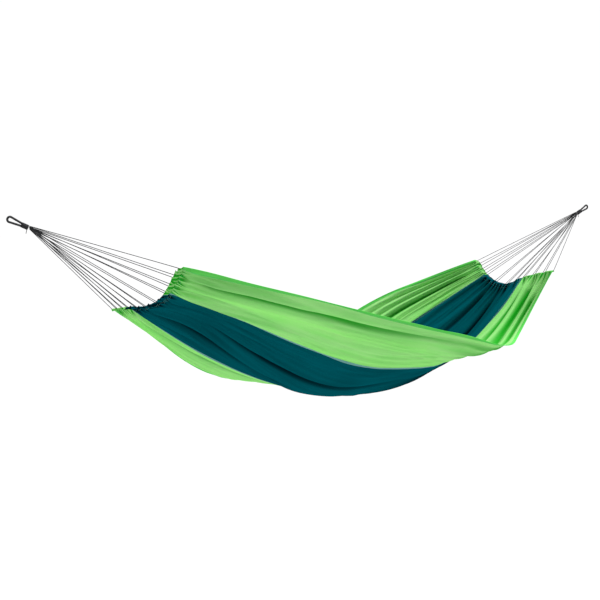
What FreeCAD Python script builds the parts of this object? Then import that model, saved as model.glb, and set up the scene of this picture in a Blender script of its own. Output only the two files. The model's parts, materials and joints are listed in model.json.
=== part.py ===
"""Camping hammock: three sewn nylon panels, two fans of thin cord and two rope eyes.

Frame: millimetres, +Z up, origin where the left eye bears on its hook, +X towards the right eye,
+Y away from the near edge of the bed. The bed hangs empty, opened and a little twisted, and swings
about the line between the two points where the cords leave the lashings.
"""
import FreeCAD, Part
import Sketcher
import math
import os
from FreeCAD import Placement, Rotation, Vector

os.makedirs("parts", exist_ok=True)
doc = FreeCAD.newDocument("camping_hammock")

# ---------------------------------------------------------------- driving sizes
SIZES = {
    "hang_span": 2850.0,          # from one hook bearing point to the other
    "bed_reach": 1870.0,          # bed between its end hems, measured along X
    "bed_shift": -25.0,           # from the middle of the span to the middle of the bed
    "eye_tilt": 26.0,             # degrees that each eye points up from the level
    "eye_rope": 8.0,              # diameter of the served rope of an eye
    "eye_turn": 9.5,              # radius of the eye's round end, to the middle of the rope
    "eye_length": 40.5,           # from the lashing to the middle of the round end
    "leg_gap": 0.2,               # between the two legs of an eye where they meet the lashing
    "lashing_length": 26.0,
    "lashing_core": 14.0,         # diameter of the cord bundle under the lashing
    "lashing_cord": 2.4,          # cord wound round the bundle
    "lashing_turns": 9.0,
    "tail_length": 12.0,          # cut end of the lashing cord
    "tail_angle": 105.0,          # degrees between the tail and the way out along the eye
    "swing_gap": 1.2,             # clear space between a lashing and the swinging cords
    "cord_diameter": 2.5,
    "cord_spread": 1.48,          # spacing of the cords where they leave a lashing, in diameters
    "mouth_gap": 11.0,            # from a hem knot to the mouth of the sleeve beside it
    "bend_start": 9.0,            # from a hem knot to the cord's first corner
    "bend_run": 4.0,              # the slanting run between the cord's two corners
    "sleeve_gap": 2.0,            # from the end of the bed's cloth to the sleeves
    "sleeve_depth": 16.0,
    "sleeve_height": 7.0,
    "sleeve_wall": 1.2,
    "panel_cloth": 1.6,           # thickness of a panel's solid
    "seam_width": 10.0,
    "seam_cloth": 3.2,
    "hem_width": 14.0,
    "hem_cloth": 2.8,
    "sewing_gap": 0.8,            # clear space between cloth solids that are sewn together
    "hanger_gap": 1.2,            # clear space between a lashing and its eye
}

# Lengthwise lines of the cloth as hand-set points (y, z) below the swing axis, one for each
# station along X. Each line is a quadratic spline with these points as its poles.
STATION_SHARES = [0, 1 / 12, 3 / 12, 5 / 12, 7 / 12, 9 / 12, 11 / 12, 1]
CLOTH_LINES = [
    # near hem
    [(-410, -125), (-455, -165), (-545, -260), (-530, -345),
     (-585, -425), (-500, -530), (-225, -545), (-275, -245)],
    # near seam
    [(-290, -225), (-270, -285), (-225, -430), (-295, -570),
     (-260, -615), (-125, -650), (-145, -415), (-80, -295)],
    # keel, the lowest line along the middle of the centre panel
    [(-85, -295), (-55, -310), (-50, -570), (-20, -750),
     (-20, -755), (80, -720), (85, -590), (30, -335)],
    # far seam
    [(100, -320), (145, -435), (200, -625), (250, -760),
     (265, -815), (360, -615), (270, -420), (175, -300)],
    # far hem
    [(285, -350), (380, -450), (520, -700), (575, -800),
     (570, -640), (500, -430), (345, -300), (245, -230)],
]
NEAR_HEM, NEAR_SEAM, KEEL, FAR_SEAM, FAR_HEM = range(5)

# Sleeves on each panel's end: how many lie between one cloth line and the next.
SLEEVES_BETWEEN = [3, 2, 2, 3]

# Place in the bundle (row by row from the top, five to a row) of each cord end, counted along
# the end hem from the near corner. The order keeps the cords of a fan from crossing.
BUNDLE_PLACES = {
    "left": [0, 1, 5, 10, 6, 15, 11, 2, 16, 12, 7, 17, 3, 13, 8, 18, 4, 14, 9, 19],
    "right": [0, 10, 5, 1, 15, 11, 6, 2, 16, 12, 17, 7, 13, 18, 19, 14, 8, 3, 9, 4],
}
PLACES_PER_ROW = 5
ROWS = 4
ROW_STAGGER = 0.25             # each row's sideways shift, in pitches, to and fro

STATIONS_ALONG = 49             # cross-sections of each cloth solid
STATIONS_ACROSS = 9             # points on each of them
LINE_SAMPLES = 24               # samples between two lines, for lengths measured on the cloth
ARC_SHARE = 0.45                # part of the shorter run beside a corner that its arc takes

sheet = doc.addObject("Spreadsheet::Sheet", "sizes")
sheet_row = 0


def add_size(alias, value):
    """Write one driving size into the sheet and name its cell."""
    global sheet_row
    sheet_row += 1
    sheet.set("A%d" % sheet_row, alias)
    sheet.set("B%d" % sheet_row, "%.4f" % value)
    sheet.setAlias("B%d" % sheet_row, alias)


for size_name, size_value in SIZES.items():
    add_size(size_name, size_value)
doc.recompute()


def size(alias):
    """Read one driving size back from the sheet."""
    return float(getattr(sheet, alias))


# ---------------------------------------------------------------- places worked out from the sizes
tilt = math.radians(size("eye_tilt"))
eye_reach = (size("lashing_length") + size("hanger_gap") + size("eye_length")
             + size("eye_turn") - size("eye_rope") / 2)   # lashing's inner face to the hook
lashing_radius = size("lashing_core") / 2 + size("lashing_cord")
mid_x = size("hang_span") / 2
bed_x = mid_x + size("bed_shift")
axis_z = -eye_reach * math.sin(tilt)                      # height of the swing axis
lashing_reach = mid_x - eye_reach * math.cos(tilt)        # lashing's inner face from the middle
bundle_reach = lashing_reach - lashing_radius * math.sin(tilt) - size("swing_gap")
sleeve_reach = size("bed_reach") / 2 + size("sleeve_depth") / 2 + size("sleeve_gap")
SIDES = {"left": -1, "right": 1}


# ---------------------------------------------------------------- the cloth's surface
def cloth_line(poles):
    """Quadratic spline along the bed through the shape given by one line's poles."""
    points = [Vector(bed_x + size("bed_reach") * (share - 0.5), y, z + axis_z)
              for share, (y, z) in zip(STATION_SHARES, poles)]
    spans = len(points) - 2
    knots = [span / spans for span in range(spans + 1)]
    multiplicities = [3] + [1] * (spans - 1) + [3]
    curve = Part.BSplineCurve()
    curve.buildFromPolesMultsKnots(points, multiplicities, knots, False, 2)
    return curve


cloth_curves = [cloth_line(poles) for poles in CLOTH_LINES]


class CrossLine:
    """The cloth's cross-section at one share of its length: cubic pieces between the lines.

    The slope at a line is the mean of the chords on its two sides, each weighted by the other's
    length, so the section is smooth and stays close to its chords.
    """

    def __init__(self, share):
        self.points = [curve.value(share) for curve in cloth_curves]
        chords = [b - a for a, b in zip(self.points, self.points[1:])]
        lengths = [chord.Length for chord in chords]
        slopes = [None] * len(self.points)
        for i in range(1, len(self.points) - 1):
            before, after = lengths[i - 1], lengths[i]
            slopes[i] = (chords[i - 1] * (after / before) + chords[i] * (before / after)) \
                * (1 / (before + after))
        slopes[0] = chords[0] * (1.5 / lengths[0]) - slopes[1] * 0.5
        slopes[-1] = chords[-1] * (1.5 / lengths[-1]) - slopes[-2] * 0.5
        self.lengths = lengths
        self.slopes = slopes
        self.steps = [0.0]
        self.marks = [0.0]
        previous = self.points[0]
        for i in range(len(chords)):
            for sample in range(1, LINE_SAMPLES + 1):
                place = i + sample / LINE_SAMPLES
                point = self.at(place)
                self.steps.append(self.steps[-1] + (point - previous).Length)
                self.marks.append(place)
                previous = point

    def at(self, place):
        """Point at a place counted in lines: 0 at the near hem, 4 at the far hem."""
        i = min(int(place), len(self.points) - 2)
        f = place - i
        run = self.lengths[i]
        return (self.points[i] * (2 * f ** 3 - 3 * f ** 2 + 1)
                + self.slopes[i] * (run * (f ** 3 - 2 * f ** 2 + f))
                + self.points[i + 1] * (3 * f ** 2 - 2 * f ** 3)
                + self.slopes[i + 1] * (run * (f ** 3 - f ** 2)))

    def place_of(self, line, offset):
        """Place that lies the offset in millimetres beyond a line, measured on the cloth."""
        target = self.steps[line * LINE_SAMPLES] + offset
        for i in range(1, len(self.steps)):
            if self.steps[i] >= target or i == len(self.steps) - 1:
                span = self.steps[i] - self.steps[i - 1]
                f = (target - self.steps[i - 1]) / span
                return self.marks[i - 1] + f * (self.marks[i] - self.marks[i - 1])


def cloth_solid(first, last, thickness):
    """Closed sheet between two (line, offset) pairs: offset top and bottom faces, ruled sides."""
    nudge = 1e-3
    tops, bottoms = [], []
    for along in range(STATIONS_ALONG):
        share = along / (STATIONS_ALONG - 1)
        here = CrossLine(share)
        back = CrossLine(max(share - nudge, 0))
        ahead = CrossLine(min(share + nudge, 1))
        start, end = here.place_of(*first), here.place_of(*last)
        top_row, bottom_row = [], []
        for across in range(STATIONS_ACROSS):
            place = start + (end - start) * across / (STATIONS_ACROSS - 1)
            side = min(max(place, nudge), 4 - nudge)
            lengthwise = ahead.at(place) - back.at(place)
            crosswise = here.at(side + nudge) - here.at(side - nudge)
            lift = lengthwise.cross(crosswise).normalize() * (thickness / 2)
            top_row.append(here.at(place) + lift)
            bottom_row.append(here.at(place) - lift)
        tops.append(top_row)
        bottoms.append(bottom_row)
    top, bottom = Part.BSplineSurface(), Part.BSplineSurface()
    top.interpolate(tops)
    bottom.interpolate(bottoms)
    faces = [top.toShape(), bottom.toShape()]
    u0, u1, v0, v1 = top.bounds()
    for edge_of in (lambda s: s.uIso(u0), lambda s: s.uIso(u1), lambda s: s.vIso(v0), lambda s: s.vIso(v1)):
        faces.append(Part.makeRuledSurface(edge_of(top).toShape(), edge_of(bottom).toShape()))
    shell = Part.makeShell(faces)
    shell.sewShape()
    solid = Part.makeSolid(shell)
    if solid.Volume < 0:
        solid.reverse()
    return solid


def add_shape(label, shape):
    """Put a finished shape into the document under its own name."""
    feature = doc.addObject("Part::Feature", label)
    feature.Label = label
    feature.Shape = shape
    feature.Placement = Placement()
    return feature


nodes = []
hem_edge = size("hem_width")
seam_edge = size("seam_width") / 2
gap = size("sewing_gap")
cloth_pieces = {
    "near_side_hem": ((NEAR_HEM, 0), (NEAR_HEM, hem_edge), "hem_cloth"),
    "near_side_panel": ((NEAR_HEM, hem_edge + gap), (NEAR_SEAM, -seam_edge - gap), "panel_cloth"),
    "near_seam": ((NEAR_SEAM, -seam_edge), (NEAR_SEAM, seam_edge), "seam_cloth"),
    "center_panel": ((NEAR_SEAM, seam_edge + gap), (FAR_SEAM, -seam_edge - gap), "panel_cloth"),
    "far_seam": ((FAR_SEAM, -seam_edge), (FAR_SEAM, seam_edge), "seam_cloth"),
    "far_side_panel": ((FAR_SEAM, seam_edge + gap), (FAR_HEM, -hem_edge - gap), "panel_cloth"),
    "far_side_hem": ((FAR_HEM, -hem_edge), (FAR_HEM, 0), "hem_cloth"),
}
for label, (first, last, cloth) in cloth_pieces.items():
    nodes.append(add_shape(label, cloth_solid(first, last, size(cloth))))


# ---------------------------------------------------------------- end hem: knots and sleeves
def hem_knots(side):
    """Points of an end hem where cord leaves the sleeves, from the near corner to the far one."""
    section = CrossLine(0 if side == "left" else 1)
    places = [0.0]
    for line, count in enumerate(SLEEVES_BETWEEN):
        places += [line + (step + 1) / count for step in range(count)]
    x = bed_x + SIDES[side] * sleeve_reach
    return [Vector(x, section.at(place).y, section.at(place).z) for place in places]


knots = {side: hem_knots(side) for side in SIDES}


def add_slot(sketch, trim):
    """Long round-ended outline about the sketch's origin, a trim inside the sleeve's outside."""
    inset = 2 * size(trim) if trim else 0.0
    radius = (size("sleeve_height") - inset) / 2
    reach = (size("sleeve_depth") - size("sleeve_height")) / 2
    first = sketch.addGeometry(Part.LineSegment(Vector(-reach, radius, 0), Vector(reach, radius, 0)))
    end = Part.Circle(Vector(reach, 0, 0), Vector(0, 0, 1), radius)
    sketch.addGeometry(Part.ArcOfCircle(end, -math.pi / 2, math.pi / 2))
    sketch.addGeometry(Part.LineSegment(Vector(reach, -radius, 0), Vector(-reach, -radius, 0)))
    start = Part.Circle(Vector(-reach, 0, 0), Vector(0, 0, 1), radius)
    sketch.addGeometry(Part.ArcOfCircle(start, math.pi / 2, 3 * math.pi / 2))
    top, right, low, left = first, first + 1, first + 2, first + 3
    sketch.addConstraint(Sketcher.Constraint("Tangent", top, 2, right, 2))
    sketch.addConstraint(Sketcher.Constraint("Tangent", right, 1, low, 1))
    sketch.addConstraint(Sketcher.Constraint("Tangent", low, 2, left, 2))
    sketch.addConstraint(Sketcher.Constraint("Tangent", left, 1, top, 1))
    sketch.addConstraint(Sketcher.Constraint("Horizontal", top))
    sketch.addConstraint(Sketcher.Constraint("Symmetric", right, 3, left, 3, -1, 1))
    radius_rule = sketch.addConstraint(Sketcher.Constraint("Radius", right, radius))
    inset_text = " - sizes.%s" % trim if trim else ""
    sketch.setExpression("Constraints[%d]" % radius_rule, "sizes.sleeve_height / 2" + inset_text)
    reach_rule = sketch.addConstraint(Sketcher.Constraint("DistanceX", left, 3, right, 3, 2 * reach))
    sketch.setExpression("Constraints[%d]" % reach_rule, "sizes.sleeve_depth - sizes.sleeve_height")


def origin_plane(body, role):
    """One of a body's own base planes."""
    return next(plane for plane in body.Origin.OriginFeatures if plane.Role == role)


def add_sleeve(label, start, end):
    """Hollow sewn sleeve that holds the middle of one cord loop between two hem knots."""
    run_alias = label + "_run"
    add_size(run_alias, (end - start).Length)
    doc.recompute([sheet])
    body = doc.addObject("PartDesign::Body", label)
    body.Label = label
    outline = body.newObject("Sketcher::SketchObject", label + "_outline")
    outline.AttachmentSupport = [(origin_plane(body, "XY_Plane"), "")]
    outline.MapMode = "FlatFace"
    add_slot(outline, None)
    add_slot(outline, "sleeve_wall")
    pad = body.newObject("PartDesign::Pad", label + "_pad")
    pad.Profile = outline
    pad.setExpression("Length", "sizes.%s - 2 * sizes.mouth_gap" % run_alias)
    along = (end - start).normalize()
    depth_way = Vector(1, 0, 0)
    height_way = along.cross(depth_way).normalize()
    depth_way = height_way.cross(along)
    turn = Rotation(depth_way, height_way, along, "ZXY")
    body.Placement = Placement(start + along * size("mouth_gap"), turn)
    return body


for side in SIDES:
    for i, (start, end) in enumerate(zip(knots[side], knots[side][1:])):
        nodes.append(add_sleeve("%s_sleeve_%02d" % (side, i + 1), start, end))


# ---------------------------------------------------------------- cord loops
def bundle_point(side, cord_end):
    """Where one cord end leaves the lashing: staggered rows across the bundle."""
    row, column = divmod(BUNDLE_PLACES[side][cord_end], PLACES_PER_ROW)
    stagger = ROW_STAGGER if row % 2 else -ROW_STAGGER
    pitch = size("cord_diameter") * size("cord_spread")
    return Vector(mid_x + SIDES[side] * bundle_reach,
                  (column - (PLACES_PER_ROW - 1) / 2 + stagger) * pitch,
                  axis_z + ((ROWS - 1) / 2 - row) * pitch * math.sqrt(0.75))


def cord_route(side, loop):
    """Points of one loop: down a strand, through its sleeve and back up the next strand."""
    start, end = knots[side][loop], knots[side][loop + 1]
    along = (end - start).normalize()
    route = []
    for knot, inward, cord_end in ((start, along, 2 * loop), (end, along * -1, 2 * loop + 1)):
        top = bundle_point(side, cord_end)
        corner = knot + inward * size("bend_start")
        slant = ((top - corner).normalize() - inward).normalize()
        route.append([top, corner + slant * size("bend_run"), corner])
    return route[0] + route[1][::-1]


def route_wire(route):
    """Straight runs joined by tangent arcs, each as large as the two runs beside it allow."""
    edges, radii, last = [], [], route[0]
    for before, corner, after in zip(route, route[1:], route[2:]):
        way_in, way_out = corner - before, after - corner
        reach = ARC_SHARE * min(way_in.Length, way_out.Length)
        turn = way_in.getAngle(way_out)
        radii.append(reach / math.tan(turn / 2))
        way_in.normalize()
        way_out.normalize()
        arc_start, arc_end = corner - way_in * reach, corner + way_out * reach
        middle_way = (way_out - way_in).normalize()
        sagitta = radii[-1] * (1 / math.cos(turn / 2) - 1)
        edges.append(Part.LineSegment(last, arc_start).toShape())
        edges.append(Part.Arc(arc_start, corner + middle_way * sagitta, arc_end).toShape())
        last = arc_end
    edges.append(Part.LineSegment(last, route[-1]).toShape())
    return Part.Wire(edges), radii


def add_tube(label, route, diameter):
    """Round cord along a route, checked against its section times its length."""
    wire, radii = route_wire(route)
    circle = Part.Circle(route[0], route[1] - route[0], diameter / 2)
    tube = wire.makePipeShell([Part.Wire([circle.toShape()])], True, False)
    expected = math.pi * diameter ** 2 / 4 * wire.Length
    print("%-16s length %7.1f  radii %s  volume ratio %.4f" % (
        label, wire.Length, " ".join("%.1f" % radius for radius in radii), tube.Volume / expected))
    return add_shape(label, tube)


for side in SIDES:
    for loop in range(len(knots[side]) - 1):
        label = "%s_cord_%02d" % (side, loop + 1)
        nodes.append(add_tube(label, cord_route(side, loop), size("cord_diameter")))


# ---------------------------------------------------------------- rope eyes and their lashings
def hanger_placement(side):
    """Frame at a lashing's inner face: local Z runs out along the eye, local X lies upward."""
    out = Vector(SIDES[side] * math.cos(tilt), 0, math.sin(tilt))
    up = Vector(-SIDES[side] * math.sin(tilt), 0, math.cos(tilt))
    base = Vector(mid_x + SIDES[side] * lashing_reach, 0, axis_z)
    return Placement(base, Rotation(up, out.cross(up), out, "ZXY"))


def add_eye(label, placement):
    """Rope eye: two legs that open from the lashing into a round end, as a swept tube."""
    body = doc.addObject("PartDesign::Body", label)
    body.Label = label
    path = body.newObject("Sketcher::SketchObject", label + "_path")
    path.AttachmentSupport = [(origin_plane(body, "XZ_Plane"), "")]
    path.MapMode = "FlatFace"
    foot, length, turn = (size("eye_rope") + size("leg_gap")) / 2, size("eye_length"), size("eye_turn")
    lean = math.asin((turn - foot) / length)
    touch_x, touch_y = turn * math.cos(lean), length + turn * math.sin(lean)
    path.addGeometry(Part.LineSegment(Vector(foot, 0, 0), Vector(touch_x, touch_y, 0)))
    round_end = Part.Circle(Vector(0, length, 0), Vector(0, 0, 1), turn)
    path.addGeometry(Part.ArcOfCircle(round_end, lean, math.pi - lean))
    path.addGeometry(Part.LineSegment(Vector(-touch_x, touch_y, 0), Vector(-foot, 0, 0)))
    path.addConstraint(Sketcher.Constraint("Tangent", 0, 2, 1, 1))
    path.addConstraint(Sketcher.Constraint("Tangent", 1, 2, 2, 1))
    path.addConstraint(Sketcher.Constraint("PointOnObject", 0, 1, -1))
    path.addConstraint(Sketcher.Constraint("PointOnObject", 1, 3, -2))
    path.addConstraint(Sketcher.Constraint("Symmetric", 0, 1, 2, 2, -2))
    rules = {
        "sizes.eye_turn": Sketcher.Constraint("Radius", 1, turn),
        "sizes.eye_length": Sketcher.Constraint("DistanceY", -1, 1, 1, 3, length),
        "sizes.eye_rope + sizes.leg_gap": Sketcher.Constraint("DistanceX", 2, 2, 0, 1, 2 * foot),
    }
    for expression, constraint in rules.items():
        path.setExpression("Constraints[%d]" % path.addConstraint(constraint), expression)
    section = body.newObject("Sketcher::SketchObject", label + "_section")
    section.AttachmentSupport = [(origin_plane(body, "XY_Plane"), "")]
    section.MapMode = "FlatFace"
    section.addGeometry(Part.Circle(Vector(foot, 0, 0), Vector(0, 0, 1), size("eye_rope") / 2))
    section.addConstraint(Sketcher.Constraint("PointOnObject", 0, 3, -1))
    rules = {
        "sizes.eye_rope / 2": Sketcher.Constraint("Radius", 0, size("eye_rope") / 2),
        "(sizes.eye_rope + sizes.leg_gap) / 2": Sketcher.Constraint("DistanceX", -1, 1, 0, 3, foot),
    }
    for expression, constraint in rules.items():
        section.setExpression("Constraints[%d]" % section.addConstraint(constraint), expression)
    doc.recompute()
    pipe = body.newObject("PartDesign::AdditivePipe", label + "_rope")
    pipe.Profile = section
    pipe.Spine = (path, ["Edge1", "Edge2", "Edge3"])
    body.Placement = placement
    return body


def add_lashing(label, placement):
    """Cord wound tightly round the bundle, with its cut end standing off one side."""
    core = doc.addObject("Part::Cylinder", label + "_core")
    core.setExpression("Radius", "sizes.lashing_core / 2 + sizes.lashing_cord / 2")
    core.setExpression("Height", "sizes.lashing_length")
    pieces = [core]
    turns = int(size("lashing_turns"))
    for turn in range(turns):
        ring = doc.addObject("Part::Torus", "%s_turn_%d" % (label, turn + 1))
        ring.setExpression("Radius1", "(sizes.lashing_core + sizes.lashing_cord) / 2")
        ring.setExpression("Radius2", "sizes.lashing_cord / 2")
        spacing = "(sizes.lashing_length - sizes.lashing_cord) / %d" % (turns - 1)
        ring.setExpression("Placement.Base.z", "sizes.lashing_cord / 2 + %d * %s" % (turn, spacing))
        pieces.append(ring)
    tail = doc.addObject("Part::Cylinder", label + "_tail")
    tail.setExpression("Radius", "sizes.lashing_cord / 2")
    tail.setExpression("Height", "sizes.lashing_core / 2 + sizes.lashing_cord + sizes.tail_length")
    tail_turn = Rotation(Vector(0, 1, 0), -size("tail_angle"))
    tail.Placement = Placement(Vector(0, 0, 2 * size("lashing_cord")), tail_turn)
    pieces.append(tail)
    lashing = doc.addObject("Part::MultiFuse", label)
    lashing.Shapes = pieces
    lashing.Label = label
    lashing.Placement = placement
    return lashing


for side in SIDES:
    place = hanger_placement(side)
    lashing = add_lashing(side + "_lashing", place)
    nodes.append(lashing)
    eye_foot = Vector(0, 0, size("lashing_length") + size("hanger_gap"))
    eye_place = place.multiply(Placement(eye_foot, Rotation()))
    nodes.append(add_eye(side + "_eye", eye_place))

# ---------------------------------------------------------------- check and write
doc.recompute()
for item in doc.Objects:
    if "Invalid" in item.State or "Error" in item.State:
        raise RuntimeError("%s failed: %s" % (item.Label, item.State))
for node in nodes:
    if node.Shape.isNull() or not node.Shape.isValid():
        raise RuntimeError("%s has no valid shape" % node.Label)
    if node.Shape.Volume <= 0:
        raise RuntimeError("%s has no volume" % node.Label)
bed = [node for node in nodes if "eye" not in node.Label and "lashing" not in node.Label]
bed_volume = sum(node.Shape.Volume for node in bed)
bed_y = sum(node.Shape.CenterOfMass.y * node.Shape.Volume for node in bed) / bed_volume
bed_z = sum(node.Shape.CenterOfMass.z * node.Shape.Volume for node in bed) / bed_volume
print("bed volume %.0f mm3, centre y %.1f, centre %.1f below the swing axis" % (
    bed_volume, bed_y, axis_z - bed_z))
print("swing axis height %.3f, bundle faces at %.3f and %.3f" % (
    axis_z, mid_x - bundle_reach, mid_x + bundle_reach))
for node in nodes:
    node.Shape.exportStep("parts/%s.step" % node.Label)
print("%d nodes written" % len(nodes))
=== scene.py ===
import json
import math
import bmesh
import bpy
import numpy as np
from mathutils import Matrix


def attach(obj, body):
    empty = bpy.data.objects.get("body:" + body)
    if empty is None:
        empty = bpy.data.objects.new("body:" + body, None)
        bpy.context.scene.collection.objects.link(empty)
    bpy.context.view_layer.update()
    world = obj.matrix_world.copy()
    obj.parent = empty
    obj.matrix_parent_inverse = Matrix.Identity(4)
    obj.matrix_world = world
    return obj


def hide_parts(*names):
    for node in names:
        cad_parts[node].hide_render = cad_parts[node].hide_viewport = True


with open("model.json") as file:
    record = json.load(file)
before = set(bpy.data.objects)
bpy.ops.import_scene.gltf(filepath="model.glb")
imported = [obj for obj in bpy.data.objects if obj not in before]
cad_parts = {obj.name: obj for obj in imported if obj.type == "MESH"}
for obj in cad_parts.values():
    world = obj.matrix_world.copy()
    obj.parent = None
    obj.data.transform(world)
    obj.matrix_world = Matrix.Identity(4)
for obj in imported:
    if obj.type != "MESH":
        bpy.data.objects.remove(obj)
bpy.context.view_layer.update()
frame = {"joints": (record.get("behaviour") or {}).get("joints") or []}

# ---------------------------------------------------------------- camera
# A long lens a little below the height of the two hooks, left of the bed's middle. It looks
# slightly down and to the right, so the near edge hides the trough behind it.
CAMERA_PLACE = (-0.725, -3.161, 0.113)
CAMERA_YAW = math.radians(30.85)          # from +Y towards +X
CAMERA_PITCH = math.radians(-7.32)
CAMERA_ROLL = math.radians(-0.167)

camera = bpy.data.objects.new("camera", bpy.data.cameras.new("camera"))
camera.data.lens = 53.8
camera.data.sensor_width = 36.0
camera.location = CAMERA_PLACE
camera.rotation_euler = (
    Matrix.Rotation(-CAMERA_YAW, 3, "Z")
    @ Matrix.Rotation(math.pi / 2 + CAMERA_PITCH, 3, "X")
    @ Matrix.Rotation(CAMERA_ROLL, 3, "Z")).to_euler()
bpy.context.scene.collection.objects.link(camera)
bpy.context.scene.camera = camera

# ---------------------------------------------------------------- shape of the hanging cloth
# Three nylon panels sewn side by side hang as one sheet. Five lines run along it: the two side
# hems, the two seams and the keel, the lowest line of the middle panel. Each is given by points
# (y, z) below the swing axis, and the cloth passes smoothly from one line to the next.
SWING = frame["joints"][0]
MID_X, AXIS_Z = SWING["pos_m"][0], SWING["pos_m"][2]
BED_REACH = 1.870                          # from one end hem to the other, along X
BED_SHIFT = 0.025                          # of the bed's middle from half-way, to the left
BED_X = MID_X - BED_SHIFT
LINE_POINTS = np.array([
    [(-410, -125), (-455, -165), (-545, -260), (-530, -345),
     (-585, -425), (-500, -530), (-225, -545), (-275, -245)],
    [(-290, -225), (-270, -285), (-225, -430), (-295, -570),
     (-260, -615), (-125, -650), (-145, -415), (-80, -295)],
    [(-85, -295), (-55, -310), (-50, -570), (-20, -750),
     (-20, -755), (80, -720), (85, -590), (30, -335)],
    [(100, -320), (145, -435), (200, -625), (250, -760),
     (265, -815), (360, -615), (270, -420), (175, -300)],
    [(285, -350), (380, -450), (520, -700), (575, -800),
     (570, -640), (500, -430), (345, -300), (245, -230)],
]) / 1000
NEAR_HEM, NEAR_SEAM, KEEL, FAR_SEAM, FAR_HEM = range(5)
SIDES = {"left": -1, "right": 1}


def spline_weights(share):
    """Weights of a line's eight points: the quadratic B-spline on six equal spans of the bed,
    clamped at both ends, by the Cox - de Boor recurrence."""
    share = np.clip(share, 0, 1 - 1e-12)
    spans = LINE_POINTS.shape[1] - 2
    knots = np.concatenate([[0, 0], np.arange(spans + 1), [spans, spans]]) / spans
    weights = [((share >= a) & (share < b)) * 1.0 for a, b in zip(knots, knots[1:])]
    for degree in (1, 2):
        raised = []
        for i in range(len(weights) - 1):
            rise, fall = knots[i + degree] - knots[i], knots[i + degree + 1] - knots[i + 1]
            up = (share - knots[i]) / rise * weights[i] if rise else 0
            down = (knots[i + degree + 1] - share) / fall * weights[i + 1] if fall else 0
            raised.append(up + down)
        weights = raised
    return np.stack(weights, -1)


def hung_cloth(share, place):
    """Smooth cloth. Share runs 0 to 1 from the left end hem to the right one, and place 0 to 4
    from the near hem to the far one. Between two lines it is the cubic through both, whose
    slopes are the means of the chords on each side weighted by the other chord's length."""
    share, place = np.broadcast_arrays(np.asarray(share, float), np.asarray(place, float))
    lines = np.einsum("...p,lpc->...lc", spline_weights(share), LINE_POINTS)
    x = np.broadcast_to((BED_X + BED_REACH * (share - 0.5))[..., None, None], lines.shape[:-1] + (1,))
    points = np.concatenate([x, lines], -1)
    points[..., 2] += AXIS_Z
    chords = np.diff(points, axis=-2)
    runs = np.linalg.norm(chords, axis=-1, keepdims=True)
    slopes = np.empty_like(points)
    before, after = runs[..., :-1, :], runs[..., 1:, :]
    slopes[..., 1:-1, :] = (chords[..., :-1, :] * (after / before)
                            + chords[..., 1:, :] * (before / after)) / (before + after)
    slopes[..., 0, :] = 1.5 * chords[..., 0, :] / runs[..., 0, :] - 0.5 * slopes[..., 1, :]
    slopes[..., -1, :] = 1.5 * chords[..., -1, :] / runs[..., -1, :] - 0.5 * slopes[..., -2, :]
    span = np.clip(place.astype(int), 0, 3)
    f = (place - span)[..., None]

    def at(values, index):
        index = np.broadcast_to(index[..., None, None], index.shape + (1, values.shape[-1]))
        return np.take_along_axis(values, index, axis=-2)[..., 0, :]

    run = at(runs, span)
    return (at(points, span) * (2 * f ** 3 - 3 * f ** 2 + 1)
            + at(slopes, span) * run * (f ** 3 - 2 * f ** 2 + f)
            + at(points, span + 1) * (3 * f ** 2 - 2 * f ** 3)
            + at(slopes, span + 1) * run * (f ** 3 - f ** 2))


# ---------------------------------------------------------------- cord loops
# Ten loops of thin black cord carry each end. A loop leaves the lashing, goes down to the end
# hem, runs through one sleeve and comes back up, so every hem knot holds two strands.
CORD_DIAMETER = 0.0025
CORD_PITCH = 0.0037                        # spacing of the strands where they leave a lashing
BUNDLE_INSET = 0.0711                      # from a hook to the plane where the strands start
SLEEVE_REACH = BED_REACH / 2 + 0.010       # from the bed's middle to the middle of the sleeves
BEND_START, BEND_RUN = 0.009, 0.004        # from a knot to the cord's corner, and its short run
KNOT_PLACES = np.array([0, 1 / 3, 2 / 3, 1, 1.5, 2, 2.5, 3, 10 / 3, 11 / 3, 4])
BUNDLE_PLACES = {
    "left": [0, 1, 5, 10, 6, 15, 11, 2, 16, 12, 7, 17, 3, 13, 8, 18, 4, 14, 9, 19],
    "right": [0, 10, 5, 1, 15, 11, 6, 2, 16, 12, 17, 7, 13, 18, 19, 14, 8, 3, 9, 4],
}


class Signal:
    """A shader socket that carries a number: arithmetic on it adds the Math nodes."""

    def __init__(self, tree, socket):
        self.tree = tree
        self.socket = socket

    def node(self, kind, settings=None, inputs=None, output=0):
        """Any node: its settings are set first, then its inputs get values or links."""
        made = self.tree.nodes.new("ShaderNode" + kind)
        for name, value in (settings or {}).items():
            setattr(made, name, value)
        for name, value in (inputs or {}).items():
            if isinstance(value, Signal):
                self.tree.links.new(value.socket, made.inputs[name])
            else:
                made.inputs[name].default_value = value
        return Signal(self.tree, made.outputs[output])

    def math(self, operation, first, second=0.0):
        return self.node("Math", {"operation": operation}, {0: first, 1: second})

    def __add__(self, other):
        return self.math("ADD", self, other)

    def __sub__(self, other):
        return self.math("SUBTRACT", self, other)

    def __rsub__(self, other):
        return self.math("SUBTRACT", other, self)

    def __mul__(self, other):
        return self.math("MULTIPLY", self, other)

    __radd__ = __add__
    __rmul__ = __mul__


def start_material(name):
    """New node material: returns it, its Principled node and a Signal to build from."""
    material = bpy.data.materials.new(name)
    material.use_nodes = True
    tree = material.node_tree
    shader = tree.nodes["Principled BSDF"]
    return material, shader, Signal(tree, None)


def linear(red, green, blue):
    """Linear colour, with alpha, of a paint given in 0 to 255 display values."""
    parts = np.array([red, green, blue]) / 255
    parts = np.where(parts <= 0.04045, parts / 12.92, ((parts + 0.055) / 1.055) ** 2.4)
    return (*parts.tolist(), 1.0)


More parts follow.
